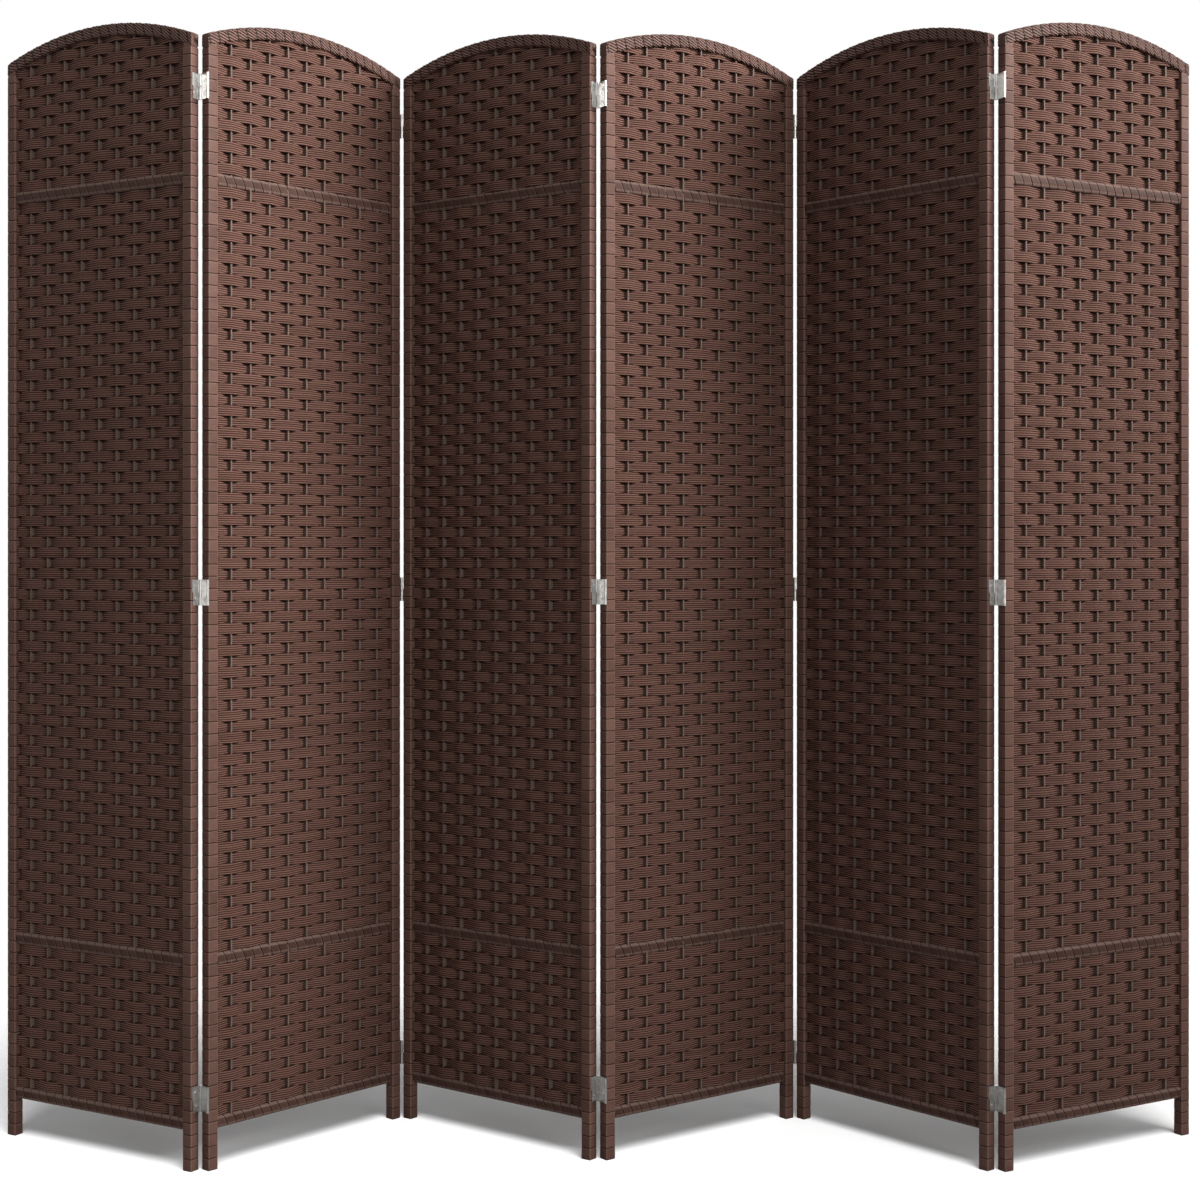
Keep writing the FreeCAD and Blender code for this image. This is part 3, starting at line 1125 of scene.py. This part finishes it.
@dataclass
class HingeScrews:
    """The cross-recessed screws that hold a panel's hinge leaves, two to a leaf."""

    panel: PanelFrame
    side: Side
    radius: float = 2.4 * MM
    proud: float = 0.7 * MM
    dome: float = 0.45
    grid: int = 6
    recess: float = 0.45 * MM
    recess_width: float = 0.2
    recess_reach: float = 0.7
    recess_turn: float = 0.4
    spread: float = 9.75 * MM
    plate_edge: float = 6.8 * MM
    sharp_angle: float = math.radians(35)

    def build(self, hinge: str, material: Material) -> None:
        """Builds the screws of three leaves as one piece.

        Args:
            hinge: The name of the hinge set.
            material: The plating.
        """
        leaf_side = Side.LEFT if self.side is Side.RIGHT else Side.RIGHT
        points = self.panel.local(f"{hinge}_{leaf_side.value}_leaves")
        plate = [p.x for p in points if abs(p.y) < self.plate_edge]
        outward = 1 if self.side is Side.RIGHT else -1
        face = max(plate) if outward > 0 else min(plate)
        mesh = Mesh()
        for low, high in stretches((p.z for p in points), LEAF_GAP):
            for end in (-1, 1):
                self.head(mesh, face, outward, (low + high) / 2 + end * self.spread, self.recess_turn * end)
        name = self.panel.node(f"{self.side.value}_screws")
        mesh.piece(name, material, self.panel.body, (), self.sharp_angle)

    def in_recess(self, spot: Vector) -> bool:
        """Whether a point of the head's flat grid lies in the cross."""
        narrow, far = sorted((abs(spot.x), abs(spot.y)))
        return narrow < self.recess_width and far < self.recess_reach

    def head(self, mesh: Mesh, face: float, outward: int, z: float, turn: float) -> None:
        """Adds one domed head with a cross recess.

        Args:
            mesh: The mesh that it goes into.
            face: Where the leaf's outer face is along the panel.
            outward: The direction that the head faces along the panel.
            z: The head's height above the floor.
            turn: How far its recess is turned.
        """
        bm = mesh.bm
        made = bmesh.ops.create_grid(bm, x_segments=self.grid, y_segments=self.grid, size=1.0)
        verts = set(made["verts"])
        top = {f for v in verts for f in v.link_faces}
        cross = [f for f in top if self.in_recess(f.calc_center_median())]
        rim = [e for e in bm.edges if e.is_boundary and e.verts[0] in verts]
        skirt = bmesh.ops.extrude_edge_only(bm, edges=rim)["geom"]
        foot = {g for g in skirt if isinstance(g, bmesh.types.BMVert)}
        sunk = bmesh.ops.extrude_face_region(bm, geom=cross)["geom"]
        floor = {g for g in sunk if isinstance(g, bmesh.types.BMVert)}
        bmesh.ops.delete(bm, geom=cross, context="FACES_ONLY")
        for vert in verts | foot | floor:
            x, y = vert.co.x, vert.co.y
            x, y = x * math.sqrt(1 - y * y / 2), y * math.sqrt(1 - x * x / 2)
            height = self.proud * (1 - self.dome * (x * x + y * y))
            if vert in foot:
                height = 0.0
            if vert in floor:
                height -= self.recess
            across = self.radius * (x * math.cos(turn) - y * math.sin(turn))
            up = self.radius * (x * math.sin(turn) + y * math.cos(turn))
            vert.co = self.panel.world(face + outward * height, across, z + up)


@dataclass
class Panel:
    """One panel of the screen with all that is wound and woven on it."""

    place: PanelFrame

    def build(self, finishes: Finishes) -> None:
        """Builds the panel's pieces and dresses its sticks.

        Args:
            finishes: The materials.
        """
        for side in Side:
            WoundPost(self.place, side).build(finishes.ribbon)
        WoundRails(self.place).build(finishes.rail_ribbon)
        arch = Arch.read(self.place)
        ArchedRail(self.place, arch).build(finishes.wound_cord)
        WovenFields(self.place, arch).build(finishes.cord)
        dress(self.place.node("warp_sticks"), finishes.stick)


@dataclass
class HingeSet:
    """The three double-action hinges between two panels."""

    left: PanelFrame
    right: PanelFrame

    def build(self, finishes: Finishes) -> None:
        """Dresses the leaves and pins and adds their screws.

        Args:
            finishes: The materials.
        """
        hinge = f"hinge_{self.left.number}_{self.right.number}"
        for part in ("left_leaves", "middle_leaves", "pins", "right_leaves"):
            dress(f"{hinge}_{part}", finishes.nickel)
        HingeScrews(self.left, Side.RIGHT).build(hinge, finishes.nickel)
        HingeScrews(self.right, Side.LEFT).build(hinge, finishes.nickel)


def dress(node: str, material: Material) -> None:
    """Gives a CAD node its material.

    Args:
        node: The node's name.
        material: The material.
    """
    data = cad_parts[node].data
    data.materials.clear()
    data.materials.append(material)
    LOG.info("%s: %s", node, material.name)


def grey(tone: float) -> tuple[float, float, float, float]:
    """An even grey, from black at 0 to white at 1."""
    return (tone, tone, tone, 1.0)


@dataclass(frozen=True)
class Sun:
    """A broad even light."""

    name: str
    strength: float
    softness: float
    source: Point

    def add(self) -> Object:
        """Adds the light to the scene.

        Returns:
            The lamp.
        """
        light = bpy.data.lights.new(self.name, "SUN")
        light.energy = self.strength
        light.angle = self.softness
        return add_lamp(light, Vector(self.source))


@dataclass
class Studio:
    """The white room: floor, background, light and camera."""

    eye: Point = (0.0027, -3.27, 0.957)
    lens: float = 60.4
    sensor: float = 36.0
    shift_up: float = -0.039
    floor_size: float = 40.0
    floor_tone: float = 0.6
    floor_roughness: float = 0.9
    floor_bounce: float = 0.1
    floor_oval: float = 0.4
    floor_fade: Span = (0.75, 1.6)
    ambient: float = 0.47
    front: Sun = Sun("front", 4.9, math.radians(30), (0.15, -0.45, 0.88))
    side: Sun = Sun("side", 0.68, math.radians(10), (0.58, -0.80, 0.15))
    back: Sun = Sun("back", 0.4, math.radians(20), (0.35, 0.93, 0.10))
    key_power: float = 90.0
    key_width: float = 3.8
    key_height: float = 2.6
    key_spread: float = math.radians(54)
    key_place: Point = (4.75, -1.65, 3.75)
    key_aim: Point = (0.0, 0.0, 2.7)

    def build(self) -> None:
        """Sets up the room. The front light falls on the floor alone."""
        bpy.context.scene.view_settings.view_transform = "Standard"
        floor = self.make_floor()
        self.make_world()
        lit = bpy.data.collections.new("lit_by_front")
        lit.objects.link(floor)
        self.front.add().light_linking.receiver_collection = lit
        self.side.add()
        self.back.add()
        self.make_key()
        self.make_camera()

    def make_floor(self) -> Object:
        """Makes a pale floor that keeps the shadow near the screen and turns white away from it.

        Returns:
            The floor, which throws little light back on the screen.
        """
        mesh = Mesh()
        bmesh.ops.create_grid(mesh.bm, x_segments=1, y_segments=1, size=self.floor_size / 2)
        data = bpy.data.meshes.new("floor")
        mesh.bm.to_mesh(data)
        mesh.bm.free()
        shader = Shader("pale_floor")
        data.materials.append(shader.finish(
            Base_Color=grey(self.floor_tone), Roughness=self.floor_roughness, Specular_IOR_Level=0.0))
        seen = shader.node("ShaderNodeLightPath", {}, {}).outputs["Is Camera Ray"]
        x, y, _ = shader.place()
        away = (x * x * self.floor_oval + y * y).ramp(self.floor_fade[0] ** 2, self.floor_fade[1] ** 2)
        white = shader.node("ShaderNodeEmission", {}, {"Color": grey(1.0), "Strength": 1.0})
        dull = shader.node("ShaderNodeBsdfDiffuse", {}, {"Color": grey(self.floor_bounce)})
        choice = shader.blend(seen, dull, shader.blend(away, shader.surface, white))
        shader.feed(shader.tree.nodes["Material Output"].inputs[0], choice.outputs[0])
        floor = add_object("floor", data)
        return floor

    def make_world(self) -> None:
        """White to the camera and in reflections, and a plain soft light otherwise."""
        world = bpy.data.worlds.new("white_room")
        room = NodeTree(world)
        path = room.node("ShaderNodeLightPath", {}, {}).outputs
        rays = ("Camera", "Glossy", "Transmission")
        camera, glossy, through = (Value(room, path[f"Is {ray} Ray"]) for ray in rays)
        seen = room.math("MAXIMUM", room.math("MAXIMUM", camera, glossy), through)
        back = room.tree.nodes["Background"]
        room.feed(back.inputs["Color"], grey(1.0))
        room.feed(back.inputs["Strength"], self.ambient + seen * (1 - self.ambient))
        bpy.context.scene.world = world

    def make_key(self) -> None:
        """A wide soft light from the right, in front and above, that fades towards the floor."""
        light = bpy.data.lights.new("key", "AREA")
        light.shape = "RECTANGLE"
        light.size = self.key_width
        light.size_y = self.key_height
        light.energy = self.key_power
        light.spread = self.key_spread
        lamp = add_lamp(light, Vector(self.key_place) - Vector(self.key_aim))
        lamp.location = self.key_place
        lamp.visible_camera = False

    def make_camera(self) -> None:
        """The photograph's view: level, from the front, at about half the screen's height."""
        data = bpy.data.cameras.new("camera")
        data.lens = self.lens
        data.sensor_width = self.sensor
        data.shift_y = self.shift_up
        camera = add_object("camera", data)
        camera.location = self.eye
        camera.rotation_euler = (math.pi / 2, 0, 0)
        bpy.context.scene.camera = camera


def main() -> None:
    """Builds the panels, the hinges and the room."""
    logging.basicConfig(level=logging.INFO, format="%(message)s")
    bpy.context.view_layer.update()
    finishes = Finishes()
    places = [PanelFrame.read(number) for number in range(1, PANEL_COUNT + 1)]
    for place in places:
        Panel(place).build(finishes)
    for left, right in zip(places, places[1:]):
        HingeSet(left, right).build(finishes)
    Studio().build()


if __name__ == "__main__":
    main()
